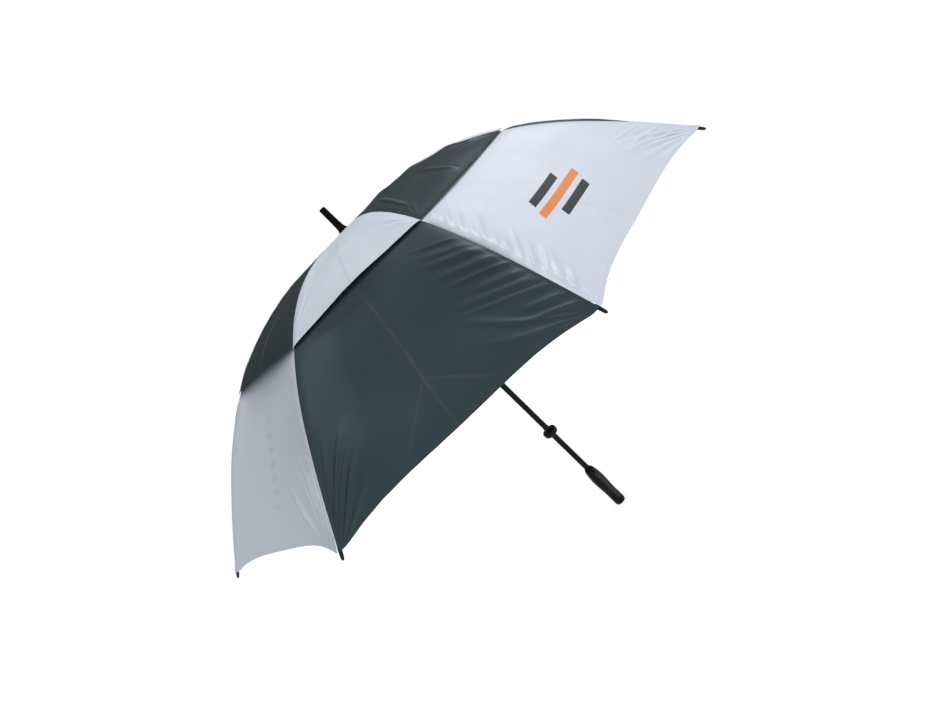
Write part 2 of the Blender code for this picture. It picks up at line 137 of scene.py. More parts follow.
# Thread and stitches, in metres on the cloth.
THREAD_PITCH = 0.0007
STITCH_PITCH = 0.0032
STITCH_HALF_WIDTH = 0.0005
SEAM_ROWS = (0.0028, 0.0075)
HEM_ROW = 0.0065
CREASE_HALF_WIDTH = 0.0045

# Colours of the cloth: its own, paler where it is uneven, along a crease, and of its shine.
DARK = (0.0130, 0.029, 0.035, 1.0)
DARK_PALE = (0.020, 0.040, 0.048, 1.0)
# Along the pressed creases dark cloth turns paler.
DARK_CREASE = (0.050, 0.070, 0.086, 1.0)
# The vent's dark cloth is the main dark cloth with painted shade, darker and greyer.
VENT_DARK = (0.0105, 0.0205, 0.0225, 1.0)
VENT_DARK_PALE = (0.017, 0.029, 0.031, 1.0)
# Painted highlight on the dark vent cloth: along its fold, beside its dip and faintly down its middle crease.
VENT_PAINTED_HIGHLIGHT = (0.13, 0.155, 0.15, 1.0)
DARK_SHINE = (0.72, 0.92, 1.0, 1.0)
WHITE = (0.64, 0.69, 0.775, 1.0)
WHITE_PALE = (0.71, 0.76, 0.845, 1.0)
# Along the pressed creases white cloth turns darker; in the dimples this is painted shade.
WHITE_CREASE = (0.55, 0.58, 0.66, 1.0)
WHITE_SHINE = (0.94, 0.97, 1.0, 1.0)
CHARCOAL = (0.012, 0.012, 0.018, 1.0)
ORANGE = (0.80, 0.24, 0.045, 1.0)
SHEEN_TINT = (0.78, 0.9, 1.0, 1.0)
GRIP_BLACK = (0.002, 0.002, 0.002, 1.0)
# Painted highlight on the crests of the grip's finger ribs.
GRIP_PAINTED_HIGHLIGHT = (0.17, 0.16, 0.135, 1.0)

# The printed mark, in metres on the cloth: the middle of each bar, half its length, its colour.
PRINT_BARS = (
    ((-0.012, 0.560), 0.046, CHARCOAL),
    ((-0.012, 0.590), 0.070, ORANGE),
    ((-0.012, 0.620), 0.046, CHARCOAL),
)
PRINT_BAR_HEIGHT = 0.018
PRINT_SLANT = 0.6

# Fittings.
COLLAR_MIDDLE = CROWN - 656.5
COLLAR_NECK = 7.5
COLLAR_HALF = 15.2
GRIP_LENGTH = 125.5
GRIP_RIB_PITCH = 5.0
GRIP_RIBS_FROM = 15.0
GRIP_RIBS_TO = 112.0
GRIP_ROW_ANGLE = math.radians(-37)
# The grip without its finger ribs: depths below its top, and the radius there.
GRIP_PROFILE = (
    (0.0, 8.8), (2.0, 10.2), (6.5, 12.4), (11.5, 13.4), (21.0, 14.5), (31.0, 15.4),
    (43.0, 15.8), (55.0, 15.5), (65.0, 14.9), (75.0, 14.2), (84.0, 13.8), (96.0, 13.8),
    (108.0, 14.2), (119.0, 14.5), (123.0, 14.2), (125.5, 13.2),
)
# The coil behind the push button: distances from the shaft's middle, then its turns and sizes.
SPRING_FROM = 9.3
SPRING_TO = 12.6
SPRING_TURNS = 2.5
SPRING_RADIUS = 1.6
SPRING_WIRE = 0.28

# Light and floor.
SKY_BRIGHT_SIDE = (0.60, -0.35, 0.72)
SKY_BRIGHT = 0.58
SKY_DIM = 0.06
FLOOR_HALF = 9.0
FLOOR_HEIGHT = -0.0008
FLOOR_FADE_FROM = 1.2
FLOOR_FADE_LENGTH = 2.6

# Camera.
CAMERA_PLACE = (0.7734, -1.3131, 0.8989)
CAMERA_FORWARD = (-0.49060, 0.83698, -0.24243)
CAMERA_RIGHT = (0.69016, 0.20338, -0.69449)
LENS_MM = 26.19
SENSOR_MM = 36.0


# Small helpers for meshes.


def solid_from(name, vertices, faces):
    """A new object from points in millimetres, with its faces turned outwards."""
    mesh = bpy.data.meshes.new(name)
    mesh.from_pydata([tuple(float(c) * MM for c in v) for v in vertices], [], faces)
    work = bmesh.new()
    work.from_mesh(mesh)
    bmesh.ops.recalc_face_normals(work, faces=work.faces)
    work.to_mesh(mesh)
    work.free()
    item = bpy.data.objects.new(name, mesh)
    bpy.context.scene.collection.objects.link(item)
    mesh.shade_smooth()
    return item


def lathe(name, profile, steps, crease):
    """Turns an open profile of (radius, z) about Z; edges sharper than crease degrees stay sharp."""
    vertices = []
    rings = []
    for radius, z in profile:
        if radius == 0:
            rings.append([len(vertices)])
            vertices.append((0.0, 0.0, z))
            continue
        rings.append(list(range(len(vertices), len(vertices) + steps)))
        for k in range(steps):
            angle = 2 * math.pi * k / steps
            vertices.append((radius * math.cos(angle), radius * math.sin(angle), z))
    faces = []
    for lower, upper in zip(rings, rings[1:]):
        for k in range(steps):
            following = (k + 1) % steps
            if len(lower) == 1:
                faces.append((lower[0], upper[k], upper[following]))
            elif len(upper) == 1:
                faces.append((lower[k], lower[following], upper[0]))
            else:
                faces.append((lower[k], lower[following], upper[following], upper[k]))
    item = solid_from(name, vertices, faces)
    item.data.set_sharp_from_angle(angle=math.radians(crease))
    return item


def smooth_profile(points, step=1.0):
    """The same profile with a soft Catmull-Rom curve through its points, one point every step or so."""
    path = [Vector(p) for p in points]
    path = [path[0] * 2 - path[1]] + path + [path[-1] * 2 - path[-2]]
    curve = []
    for a, b, c, d in zip(path, path[1:], path[2:], path[3:]):
        count = max(1, int((c - b).length / step))
        square = 2 * a - 5 * b + 4 * c - d
        cube = 3 * b - a - 3 * c + d
        for k in range(count):
            t = k / count
            curve.append(0.5 * (2 * b + (c - a) * t + square * t**2 + cube * t**3))
    curve.append(path[-2])
    return [(max(p.x, 0.0), p.y) for p in curve]


def raised(profile, height):
    """The same profile of (radius, z) moved up by height."""
    return [(radius, height + z) for radius, z in profile]


def smooth_step(low, high, x):
    """Goes smoothly from 0 at low to 1 at high."""
    t = np.clip((x - low) / (high - low), 0.0, 1.0)
    return t * t * (3 - 2 * t)


# Rib curve.

FINE = np.linspace(0.0, 780.0, 1561)
FINE_SLOPE = np.radians(np.interp(FINE, SLOPE_AT, SLOPE_DEGREES))


def running_sum(values):
    """The area under the values up to each step along the rib."""
    steps = (values[1:] + values[:-1]) / 2 * np.diff(FINE)
    return np.concatenate([[0.0], np.cumsum(steps)])


FINE_RADIUS = ROOT_RADIUS + running_sum(np.cos(FINE_SLOPE))
FINE_HEIGHT = CROWN - ROOT_DEPTH - running_sum(np.sin(FINE_SLOPE))


def rib_at(along, offset=0.0):
    """Radius and height of the rib's line, moved outwards by offset, and its slope."""
    slope = np.interp(along, FINE, FINE_SLOPE)
    radius = np.interp(along, FINE, FINE_RADIUS) + offset * np.sin(slope)
    height = np.interp(along, FINE, FINE_HEIGHT) + offset * np.cos(slope)
    return radius, height, slope


# Cloth shape. Every panel is made in its own frame: X out along its middle, Y towards rib k, Z up.
# across runs from -1 at rib k + 1 to +1 at rib k; along is the length along the ribs.


def base_surface(across, along, offset):
    """The plain ruled surface between two ribs."""
    radius, height, _ = rib_at(along, offset)
    x = radius * math.cos(HALF_SECTOR)
    y = across * radius * math.sin(HALF_SECTOR)
    return np.stack([x, y, height], axis=-1)


def surface_normals(points):
    """Outward unit normals of a grid of points."""
    d_across = np.gradient(points, axis=0)
    d_along = np.gradient(points, axis=1)
    normal = np.cross(d_along, d_across)
    normal /= np.linalg.norm(normal, axis=-1, keepdims=True)
    if normal[..., 2].mean() < 0:
        normal = -normal
    return normal


def hump(distance, width):
    """1 at no distance, falling smoothly to 0."""
    return np.exp(-((distance / width) ** 2))


def waves(x, y, seed, scale):
    """Smooth, repeatable unevenness between about -1 and 1."""
    source = np.random.default_rng(seed)
    total = np.zeros_like(x)
    for _ in range(WAVE_COUNT):
        angle = source.uniform(0, 2 * math.pi)
        pitch = scale * source.uniform(0.6, 1.9)
        phase = source.uniform(0, 2 * math.pi)
        total += np.sin(2 * math.pi * (x * math.cos(angle) + y * math.sin(angle)) / pitch + phase)
    return total / math.sqrt(WAVE_COUNT)


def tip_folds(seam_distance, tip_distance, folds):
    """Folds that fan out from a rib tip, each an angle from the seam, a length, a height and a width.

    Both the angle and the width are in degrees.
    """
    reach = np.hypot(seam_distance, tip_distance) + 1e-6
    angle = np.degrees(np.arctan2(seam_distance, np.maximum(tip_distance, 0.0) + 1e-6))
    height = np.zeros_like(reach)
    for at, length, lift, width in folds:
        bend = at * (1 + 0.10 * np.sin(reach / 60 + at))
        body = smooth_step(4, 0.4 * length, reach) * (1 - smooth_step(0.5 * length, 1.1 * length, reach))
        height += lift * body * (hump(angle - bend, width) - 0.3 * hump(angle - bend, 2.4 * width))
    return height


def seam_puckers(seam_distance, along, start, end, spacing, leans, reaches, lift, seed):
    """Ripples that leave a seam at a slant.

    Their lean and reach go from the first to the second value between start and end.
    """
    source = np.random.default_rng(seed)
    height = np.zeros_like(along)
    place = start
    while place < end:
        share = (place - start) / (end - start)
        lean = (leans[0] + (leans[1] - leans[0]) * share) * source.uniform(0.85, 1.15)
        far = (reaches[0] + (reaches[1] - reaches[0]) * share) * source.uniform(0.65, 1.35)
        size = source.uniform(0.5, 1.3)
        width = 0.25 * spacing * source.uniform(0.6, 1.5)
        line = (along - place + lean * seam_distance) / math.sqrt(1 + lean**2)
        fade = smooth_step(0.0, 20.0, seam_distance)
        fade = fade * (1 - smooth_step(0.5 * far, 1.15 * far, seam_distance))
        height += lift * size * fade * hump(line, width)
        place += spacing * source.uniform(0.75, 1.25)
    return height


def plain_look(index):
    """A made-up look, with quieter creases and folds."""
    source = np.random.default_rng(100 + index)
    fans = []
    for _ in range(2):
        folds = []
        for at in (7, 14, 22, 33, 47):
            turned = at * source.uniform(0.85, 1.15)
            length = source.uniform(110, 200)
            lift = source.uniform(1.2, 2.6)
            folds.append((turned, length, lift, 1.6 + at / 16))
        fans.append(folds)
    return dict(
        near_folds=fans[0],
        far_folds=fans[1],
        near_puckers=(430, 720, source.uniform(22, 30), (1.1, 0.7), (34, 60), 1.7),
        far_puckers=(430, 720, source.uniform(22, 30), (1.1, 0.7), (30, 55), 1.6),
        crease_at=source.uniform(-15, 15),
        crease_lift=source.uniform(0.5, 0.8),
        star_at=source.uniform(560, 640),
        dimples=0.0,
        shoulder=0.0,
        rolls=((source.uniform(2.5, 4.5), 18.0), (source.uniform(2.5, 4.5), 18.0)),
        vent_lift=source.uniform(4.0, 8.0),
        vent_gap=source.uniform(6.0, 10.0),
    )


# The looks of the four panels in front. near is the seam at rib k, far the one at rib k + 1.
# A fold has an angle from the seam, a length, a height and a width in degrees.
# Puckers have a start, an end, a spacing, the lean at both ends, the reach at both ends and a height.
# crease_at is the pressed crease's place across the panel, and star_at where two more branch off it.
# rolls are the height and width of the slack beside each seam, and shoulder is how far it falls away on
# the far side. vent_lift is how far the vent bulges, and vent_gap how far the main panel lies below it.
LOOKS = {
    0: dict(
        near_folds=[
            (24, 165, 1.8, 2.6),
            (36, 160, 2.3, 2.8),
            (47, 150, 2.2, 3.0),
            (60, 150, 1.8, 3.4),
            (73, 130, 1.5, 4.0),
        ],
        far_folds=[(9, 170, 1.6, 2.2), (17, 140, 1.4, 2.6), (29, 110, 1.0, 3.5)],
        near_puckers=(655, 735, 19, (0.6, 0.4), (70, 85), 1.6),
        far_puckers=(400, 715, 23, (1.0, 0.75), (42, 62), 3.8),
        crease_at=-23,
        crease_lift=0.45,
        star_at=660,
        dimples=0.0,
        rolls=((3.0, 20.0), (6.5, 11.0)),
        shoulder=0.0,
        vent_lift=4.0,
        vent_gap=6.0,
    ),
    1: dict(
        near_folds=[(38, 210, 1.9, 2.8), (50, 190, 1.5, 3.2), (66, 150, 1.0, 4.0)],
        far_folds=[
            (9, 190, 4.0, 1.7),
            (17, 190, 8.0, 2.1),
            (23, 150, 6.0, 2.1),
            (34, 150, 4.6, 2.8),
            (45, 130, 2.6, 4.0),
        ],
        near_puckers=(495, 738, 24, (0.95, 0.55), (52, 100), 3.4),
        far_puckers=(470, 600, 26, (1.4, 1.0), (20, 26), 0.7),
        crease_at=-3,
        crease_lift=0.9,
        star_at=627,
        dimples=0.0,
        rolls=((2.0, 15.0), (3.0, 12.0)),
        shoulder=12.0,
        vent_lift=9.0,
        vent_gap=4.5,
    ),
    2: dict(
        near_folds=[
            (8, 170, 4.0, 1.8),
            (14, 175, 5.5, 2.2),
            (22, 185, 6.0, 2.6),
            (33, 170, 4.0, 3.0),
            (51, 200, 5.0, 3.0),
        ],
        far_folds=[(11, 120, 1.2, 3.0), (26, 110, 1.0, 4.0), (64, 130, 1.4, 4.0)],
        near_puckers=(600, 730, 22, (0.9, 0.6), (34, 60), 1.3),
        far_puckers=(560, 700, 30, (0.8, 0.6), (20, 30), 0.7),
        crease_at=2,
        crease_lift=0.25,
        star_at=640,
        dimples=1.5,
        rolls=((2.0, 14.0), (4.0, 25.0)),
        shoulder=0.0,
        vent_lift=8.0,
        vent_gap=17.0,
    ),
    7: dict(
        plain_look(7),
        far_folds=[(14, 120, 0.7, 3.0)],
        far_puckers=(430, 720, 40, (1.0, 0.7), (30, 40), 0.4),
        rolls=((3.0, 18.0), (7.5, 24.0)),
    ),
}


def look_of(index):
    """The look of a panel, made up if it has none of its own."""
    return LOOKS[index] if index in LOOKS else plain_look(index)


def dimple_row(along):
    """1 at the middle of each dimple in the row down a pressed crease, falling to 0 between them."""
    return hump(np.mod(along + DIMPLE_SHIFT, DIMPLE_SPACING) - DIMPLE_SPACING / 2, DIMPLE_LENGTH)


# The creases of a panel are given as distances from them and strengths of about 0 to 1. A strength is
# divided by MM here because make_cloth multiplies both by it.


def pressed_lines(index, y, along):
    """The crease pressed down the middle of a main panel, and the two that branch off it."""
    look = look_of(index)
    middle = y - look["crease_at"] + 1.5 * np.sin(along / 45)
    strength = look["crease_lift"] * (0.75 + 0.25 * np.sin(along / 9.0)) * smooth_step(395, 430, along)
    # In the dimples the crease colour is painted shade.
    if look["dimples"]:
        spot = dimple_row(along)
        strength += 1.3 * spot * smooth_step(430, 560, along) * (1 - smooth_step(640, 690, along))
        middle = middle / (1 + 3.5 * spot)
    below = along - look["star_at"]
    arm = (below - np.abs(middle)) / math.sqrt(2)
    arm_strength = look["crease_lift"] * smooth_step(-6, 4, below) * (1 - smooth_step(55, 110, below))
    return (middle, strength / MM), (arm, 0.7 * arm_strength / MM)


def edge_dense(count):
    """Values from -1 to 1 that lie closer together near both ends."""
    t = np.linspace(-1.0, 1.0, count)
    return np.sign(t) * (1 - (1 - np.abs(t)) ** EDGE_POWER)


def hem_line(across):
    """Where the hem lies: a flat curve between the ribs, gathered into the tips at its corners."""
    curve = MAIN_END - HEM_SAG * (1 - np.abs(across) ** HEM_FLATNESS)
    return curve - CORNER_SOFTNESS * np.logaddexp(0.0, (curve - CORNER_END) / CORNER_SOFTNESS)


def main_heights(index, across, along, half_width):
    """How far the main panel's cloth stands off its plain ruled surface."""
    look = look_of(index)
    near = (1 - across) * half_width
    far = (1 + across) * half_width
    y = across * half_width
    hem = hem_line(across) - along
    span = 1 - across**2
    taper = 1 - 0.85 * smooth_step(540, 710, along)
    height = np.zeros_like(along)
    for distance, folds, puckers, roll, seed in (
        (near, look["near_folds"], look["near_puckers"], look["rolls"][0], 11),
        (far, look["far_folds"], look["far_puckers"], look["rolls"][1], 23),
    ):
        unevenness = 1 + 0.2 * waves(along, distance, seed + index, 150.0)
        lift, width = roll
        height += lift * unevenness * taper * (distance / width) * np.exp(1 - distance / width)
        height += SEAM_HEIGHT * (1 - smooth_step(0.6 * SEAM_WIDTH, 1.4 * SEAM_WIDTH, distance))
        height += tip_folds(distance, MAIN_END + 3 - along, folds)
        height += seam_puckers(distance, along, *puckers, seed + 7 * index)
        tip = hump(distance, 9.0) * smooth_step(POCKET_FROM, MAIN_END - 6, along)
        height += POCKET_OFFSET * tip

    fall = smooth_step(5, 100, far) * (1 - smooth_step(0.35, 1.0, far / (2 * half_width)))
    height -= look["shoulder"] * fall * (1 - smooth_step(560, 690, along))

    middle = y - look["crease_at"]
    blob = dimple_row(along) * hump(middle, DIMPLE_WIDTH)
    height -= look["dimples"] * blob * smooth_step(415, 470, along) * (1 - smooth_step(680, 715, along))

    clear_of_vent = smooth_step(392, 425, along)
    height *= clear_of_vent
    lower = smooth_step(400, 580, along)
    height += span * ((look["vent_lift"] - look["vent_gap"]) * (1 - lower) - PANEL_SAG * lower)
    height += 0.9 * waves(y, along, 300 + index, 200.0) * span * clear_of_vent
    height += 0.25 * waves(y, along, 400 + index, 60.0) * (1 - across**4) * clear_of_vent
    height += 0.3 * (1 - smooth_step(HEM_BAND - 1.5, HEM_BAND + 0.5, hem))
    flutter = np.exp(-np.maximum(hem, 0) / 12.0) * (1 - across**6)
    height += 0.3 * waves(y, hem * 0.2, 500 + index, 26.0) * flutter
    return height


def vent_fold(y, edge):
    """Distance from the fold that runs in from the free edge of a dark vent panel, and its strength."""
    return y - 4 - 0.2 * edge, smooth_step(2, 40, edge) * (1 - smooth_step(95, 135, edge))


def vent_dip(far, edge):
    """The same for the long dip beside its far seam."""
    return far - 17 - 0.13 * edge, smooth_step(45, 85, edge) * (1 - smooth_step(165, 215, edge))


def vent_creases(index, y, along, seam):
    """The crease down the middle of a vent panel, and on a dark one the painted highlights along its fold and
    beside its dip.
    """
    dark = index % 2 == 0
    edge = VENT_END - along
    fold, fold_body = vent_fold(y, edge)
    dip, dip_body = vent_dip(seam + 2 * np.maximum(y, 0), edge)
    # The painted highlight beside the dip lies on its side away from the seam.
    dip = dip - 4
    nearer = np.abs(fold) < np.abs(dip)
    arm = np.where(nearer, fold, dip)
    tone_and_painted_light = np.where(nearer, 0.8 * fold_body, 1.2 * dip_body) * dark
    strength = (0.2 if dark else 0.8) * smooth_step(90, 160, along)
    return (y + 1.5 * np.sin(along / 30), strength / MM), (arm, tone_and_painted_light / MM)


def vent_heights(index, across, along, half_width):
    """The same as main_heights for the vent panel, which is slacker and lifts at its free edge."""
    near = (1 - across) * half_width
    far = (1 + across) * half_width
    y = across * half_width
    span = 1 - across**2
    height = np.zeros_like(along)
    for distance, seed in ((near, 31), (far, 43)):
        rise = smooth_step(40, 140, along)
        height += 1.8 * (distance / 12.0) * np.exp(1 - distance / 12.0) * rise
        height += SEAM_HEIGHT * (1 - smooth_step(0.6 * SEAM_WIDTH, 1.4 * SEAM_WIDTH, distance))
        height += tip_folds(distance, VENT_END + 4 - along, [(14, 130, 1.6, 3.0), (30, 100, 1.2, 4.0)])
        height += seam_puckers(distance, along, 170, 385, 30, (0.9, 0.7), (24, 34), 1.0, seed + index)
    height += look_of(index)["vent_lift"] * span**0.8 * smooth_step(180, VENT_END, along)
    height += 1.6 * waves(y, along, 600 + index, 170.0) * span * smooth_step(60, 180, along)
    height += 0.35 * waves(y, along, 700 + index, 48.0) * span
    edge = VENT_END - along
    if index % 2 == 0:
        off, body = vent_dip(far, edge)
        height -= DIP_DEPTH * hump(off + 5, 5.0) * body
        off, body = vent_fold(y, edge)
        height += FOLD_LIFT * hump(off, 4.5) * body
    if index in (0, PANELS - 1):
        seam = near if index == 0 else far
        swell = (0.5 + 0.5 * np.cos(2 * math.pi * (along - SWELL_AT) / SWELL_SPACING)) ** 1.5
        body = smooth_step(60, 90, along) * (1 - smooth_step(325, 345, along))
        height += SWELL_LIFT * swell * body * np.exp(-seam / 28.0)
    height += 0.6 * (1 - smooth_step(4.0, 6.0, edge))
    return height


def cloth_grid(index, across, along, offset, heights):
    """Points of one piece of a panel, with each one's place across the panel and distance from its seam."""
    radius, _, _ = rib_at(along)
    half_width = radius * math.sin(HALF_SECTOR)
    base = base_surface(across, along, offset)
    lift = heights(index, across, along, half_width)
    points = base + surface_normals(base) * lift[..., None]
    seam = (1 - np.abs(across)) * half_width
    return points, across * half_width, seam


def make_cloth(name, index, points, material, layers):
    """The mesh of a cloth piece, in the panel's place, with its cloth coordinates in metres."""
    rows, columns = points.shape[:2]
    flat = points.reshape(-1, 3)
    faces = []
    for i in range(rows - 1):
        for j in range(columns - 1):
            a = i * columns + j
            faces.append((a, a + columns, a + columns + 1, a + 1))
    mesh = bpy.data.meshes.new(name)
    mesh.from_pydata((flat * MM).tolist(), [], faces)
    item = bpy.data.objects.new(name, mesh)
    bpy.context.scene.collection.objects.link(item)
    if mesh.polygons[len(faces) // 2].normal.z < 0:
        mesh.flip_normals()
    corner = np.zeros(len(mesh.loops), int)
    mesh.loops.foreach_get("vertex_index", corner)
    for layer, (first, second) in layers.items():
        pairs = np.stack([first.ravel(), second.ravel()], axis=-1)[corner] * MM
        mesh.uv_layers.new(name=layer).data.foreach_set("uv", pairs.ravel())
    mesh.shade_smooth()
    mesh.materials.append(material)
    mesh.transform(Matrix.Rotation(-(index + 0.5) * SECTOR, 4, "Z"))
    return item


def finish_cloth(piece, body, index):
    """Makes a piece ride on its body, with a mesh of its own."""
    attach(piece, f"{body}_{index}")
    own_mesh(piece)


def add_main_panel(index, cloth):
    """The main panel, from under the vent to the hem."""
    rows, columns = ((201, 171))
    across, share = np.meshgrid(edge_dense(rows), np.linspace(0, 1, columns), indexing="ij")
    along = MAIN_START + share * (hem_line(across) - MAIN_START)
    across = across * PANEL_SHARE
    points, y, seam = cloth_grid(index, across, along, MAIN_OFFSET, main_heights)
    hem = hem_line(across) - along
    pressed, arms = pressed_lines(index, y, along)
    layers = {"cloth": (y, along), "edges": (seam, hem), "pressed": pressed, "arms": arms}
    piece = make_cloth(f"cloth_main_{index}", index, points, cloth, layers)
    finish_cloth(piece, "main_panel", index)
    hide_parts(f"main_panel_{index}")


def add_vent_panel(index, cloth):
    """The vent panel over the main one, in two pieces that meet at the elbow of the ribs."""
    across_line = edge_dense(101) * PANEL_SHARE
    for part, start, end, body, rod, keep, count in (
        ("top", VENT_START, ELBOW_AT, "vent_panel", "rib_inner", FOLDED_SHARE_VENT, 91),
        ("skirt", ELBOW_AT, VENT_END, "main_panel", "rib_outer", FOLDED_SHARE_SKIRT, 51),
    ):
        across, along = np.meshgrid(across_line, np.linspace(start, end, count), indexing="ij")
        points, y, seam = cloth_grid(index, across, along, VENT_OFFSET, vent_heights)
        pressed, arms = vent_creases(index, y, along, seam)
        layers = {"cloth": (y, along), "edges": (seam, VENT_END - along), "pressed": pressed, "arms": arms}
        piece = make_cloth(f"cloth_vent_{part}_{index}", index, points, cloth, layers)
        finish_cloth(piece, body, index)
        if part == "top":
            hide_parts(f"vent_panel_{index}")


def add_canopy(materials):
    """Main panels are white on even sectors and dark on odd ones, vent panels the other way round."""
    for index in range(PANELS):
        main_colour, vent_colour = ("white", "dark") if index % 2 == 0 else ("dark", "white")
        vent_cloth = materials["dark_vent"] if vent_colour == "dark" else materials["white"]
        cloth = materials["printed"] if index == 0 else materials[main_colour]
        add_main_panel(index, cloth)
        add_vent_panel(index, vent_cloth)


# Materials.


class Shader:
    """A material with short calls for the nodes used here."""

    def __init__(self, name):
        self.material = bpy.data.materials.new(name)
        self.material.use_nodes = True
        self.tree = self.material.node_tree
        self.principled = self.tree.nodes["Principled BSDF"]

    def node(self, kind, **settings):
        made = self.tree.nodes.new(kind)
        for key, value in settings.items():
            setattr(made, key, value)
        return made

    def put(self, socket, value):
        """Links a socket to another node's output, or sets its own number or colour."""
        if isinstance(value, bpy.types.NodeSocket):
            self.tree.links.new(value, socket)
        else:
            socket.default_value = value

    def math(self, operation, a, b=0.0, clamp=False):
        made = self.node("ShaderNodeMath", operation=operation, use_clamp=clamp)
        self.put(made.inputs[0], a)
        self.put(made.inputs[1], b)
        return made.outputs[0]

    def mix(self, factor, a, b):
        """Colour a where factor is 0 and b where it is 1. The colour sockets are 6, 7 and output 2."""
        made = self.node("ShaderNodeMix", data_type="RGBA")
        self.put(made.inputs["Factor"], factor)
        self.put(made.inputs[6], a)
        self.put(made.inputs[7], b)
        return made.outputs[2]

    def noise(self, vector, scale, detail, roughness):
        made = self.node("ShaderNodeTexNoise")
        self.put(made.inputs["Vector"], vector)
        made.inputs["Scale"].default_value = scale
        made.inputs["Detail"].default_value = detail
        made.inputs["Roughness"].default_value = roughness
        return made.outputs["Fac"]

    def stretched(self, vector, scale):
        """The same place with its axes scaled, for noise drawn out along one of them."""
        made = self.node("ShaderNodeMapping")
        made.inputs["Scale"].default_value = scale
        self.put(made.inputs["Vector"], vector)
        return made.outputs[0]

    def uv(self, layer):
        return self.node("ShaderNodeUVMap", uv_map=layer).outputs["UV"]

    def split(self, vector):
        made = self.node("ShaderNodeSeparateXYZ")
        self.put(made.inputs[0], vector)
        return made.outputs

    def object_place(self):
        return self.node("ShaderNodeTexCoord").outputs["Object"]

    def bump(self, height, strength, distance, normal=None):
        made = self.node("ShaderNodeBump")
        made.inputs["Strength"].default_value = strength
        made.inputs["Distance"].default_value = distance
        self.put(made.inputs["Height"], height)
        if normal is not None:
            self.put(made.inputs["Normal"], normal)
        return made.outputs["Normal"]

    def band(self, value, centre, half_width):
        """1 where value is at centre, falling to 0 at half_width from it."""
        off = self.math("ABSOLUTE", self.math("SUBTRACT", value, centre))
        return self.math("SUBTRACT", 1.0, self.math("DIVIDE", off, half_width), clamp=True)

    def finish(self, **inputs):
        """Puts values into the surface's sockets, named with _ for each space."""
        for key, value in inputs.items():
            self.put(self.principled.inputs[key.replace("_", " ")], value)
        return self.material


def shade(colour, factor, lift=0.0):
    """The colour made darker or paler."""
    return tuple(min(1.0, c * factor + lift) for c in colour[:3]) + (1.0,)


def slanted_bar(s, y, along, centre, half_length, half_height, slant):
    """1 inside a slanted bar printed on the cloth, else 0."""
    across = s.math("SUBTRACT", y, centre[0])
    down = s.math("SUBTRACT", along, centre[1])
    across = s.math("ADD", across, s.math("MULTIPLY", down, slant))
    inside_length = s.math("LESS_THAN", s.math("ABSOLUTE", across), half_length)
    inside_height = s.math("LESS_THAN", s.math("ABSOLUTE", down), half_height)
    return s.math("MULTIPLY", inside_length, inside_height)


def add_print(s, base, y, along):
    """A plain mark of three slanted bars, the middle one orange."""
    for place, half_length, colour in PRINT_BARS:
        bar = slanted_bar(s, y, along, place, half_length, PRINT_BAR_HEIGHT / 2, PRINT_SLANT)
        base = s.mix(bar, base, colour)
    return base


def stitches(s, row, along):
    """1 on the threads of a row of stitches that runs along, else 0."""
    dash = s.math("SINE", s.math("MULTIPLY", along, 2 * math.pi / STITCH_PITCH))
    return s.math("MULTIPLY", row, s.math("GREATER_THAN", dash, -0.45))


def pressed_line(s, layer):
    """A soft line, 1 on a pressed crease and 0 off it, times the crease's strength there."""
    off, strength, _ = s.split(s.uv(layer))
    line = s.band(off, 0.0, CREASE_HALF_WIDTH)
    return s.math("MULTIPLY", line, strength, clamp=True)


def cloth_material(name, colour, pale, crease, tint, sheen, roughness, gloss, printed=False):
    """Plain-woven nylon: threads, soft unevenness, two rows of stitches at each seam and one at the hem."""
    s = Shader(name)
    cloth = s.uv("cloth")
    y, along, _ = s.split(cloth)
    seam, hem, _ = s.split(s.uv("edges"))

    thread = 2 * math.pi / THREAD_PITCH
    warp = s.math("SINE", s.math("MULTIPLY", y, thread))
    weft = s.math("SINE", s.math("MULTIPLY", along, thread))
    weave = s.math("MULTIPLY", warp, weft)
    uneven = s.noise(cloth, 14.0, 4.0, 0.55)
    streaks = s.noise(s.stretched(cloth, (900.0, 14.0, 1.0)), 1.0, 2.0, 0.6)

    seam_rows = s.math("MAXIMUM", *(s.band(seam, row, STITCH_HALF_WIDTH) for row in SEAM_ROWS))
    hem_row = s.band(hem, HEM_ROW, STITCH_HALF_WIDTH)
    stitch = s.math("MAXIMUM", stitches(s, seam_rows, along), stitches(s, hem_row, y))
    creases = s.math("MAXIMUM", pressed_line(s, "pressed"), pressed_line(s, "arms"))

    tone = s.math("ADD", s.math("MULTIPLY", uneven, 0.8), s.math("MULTIPLY", streaks, 0.2))
    base = s.mix(s.math("SUBTRACT", tone, 0.1, clamp=True), colour, pale)
    # The crease colour, broken up by noise: darker on white cloth, paler on dark cloth, painted shade in the
    # dimples, a painted highlight on dark vent cloth.
    tone_and_painted_light = s.noise(cloth, 160.0, 4.0, 0.65)
    base = s.mix(s.math("MULTIPLY", creases, tone_and_painted_light), base, crease)
    if printed:
        base = add_print(s, base, y, along)
    base = s.mix(s.math("MULTIPLY", stitch, 0.45), base, shade(colour, 0.55))

    normal = s.bump(weave, 0.25, 0.00004)
    normal = s.bump(uneven, 0.25, 0.0006, normal)
    normal = s.bump(creases, 0.5, 0.0008, normal)
    normal = s.bump(stitch, 0.7, 0.0003, normal)
    rough = s.math("ADD", s.math("MULTIPLY", uneven, 0.12), roughness - 0.06)
    s.finish(Sheen_Weight=sheen, Sheen_Roughness=0.4, Sheen_Tint=SHEEN_TINT)
    s.finish(Specular_IOR_Level=gloss, Specular_Tint=tint)
    return s.finish(Base_Color=base, Roughness=rough, Normal=normal)


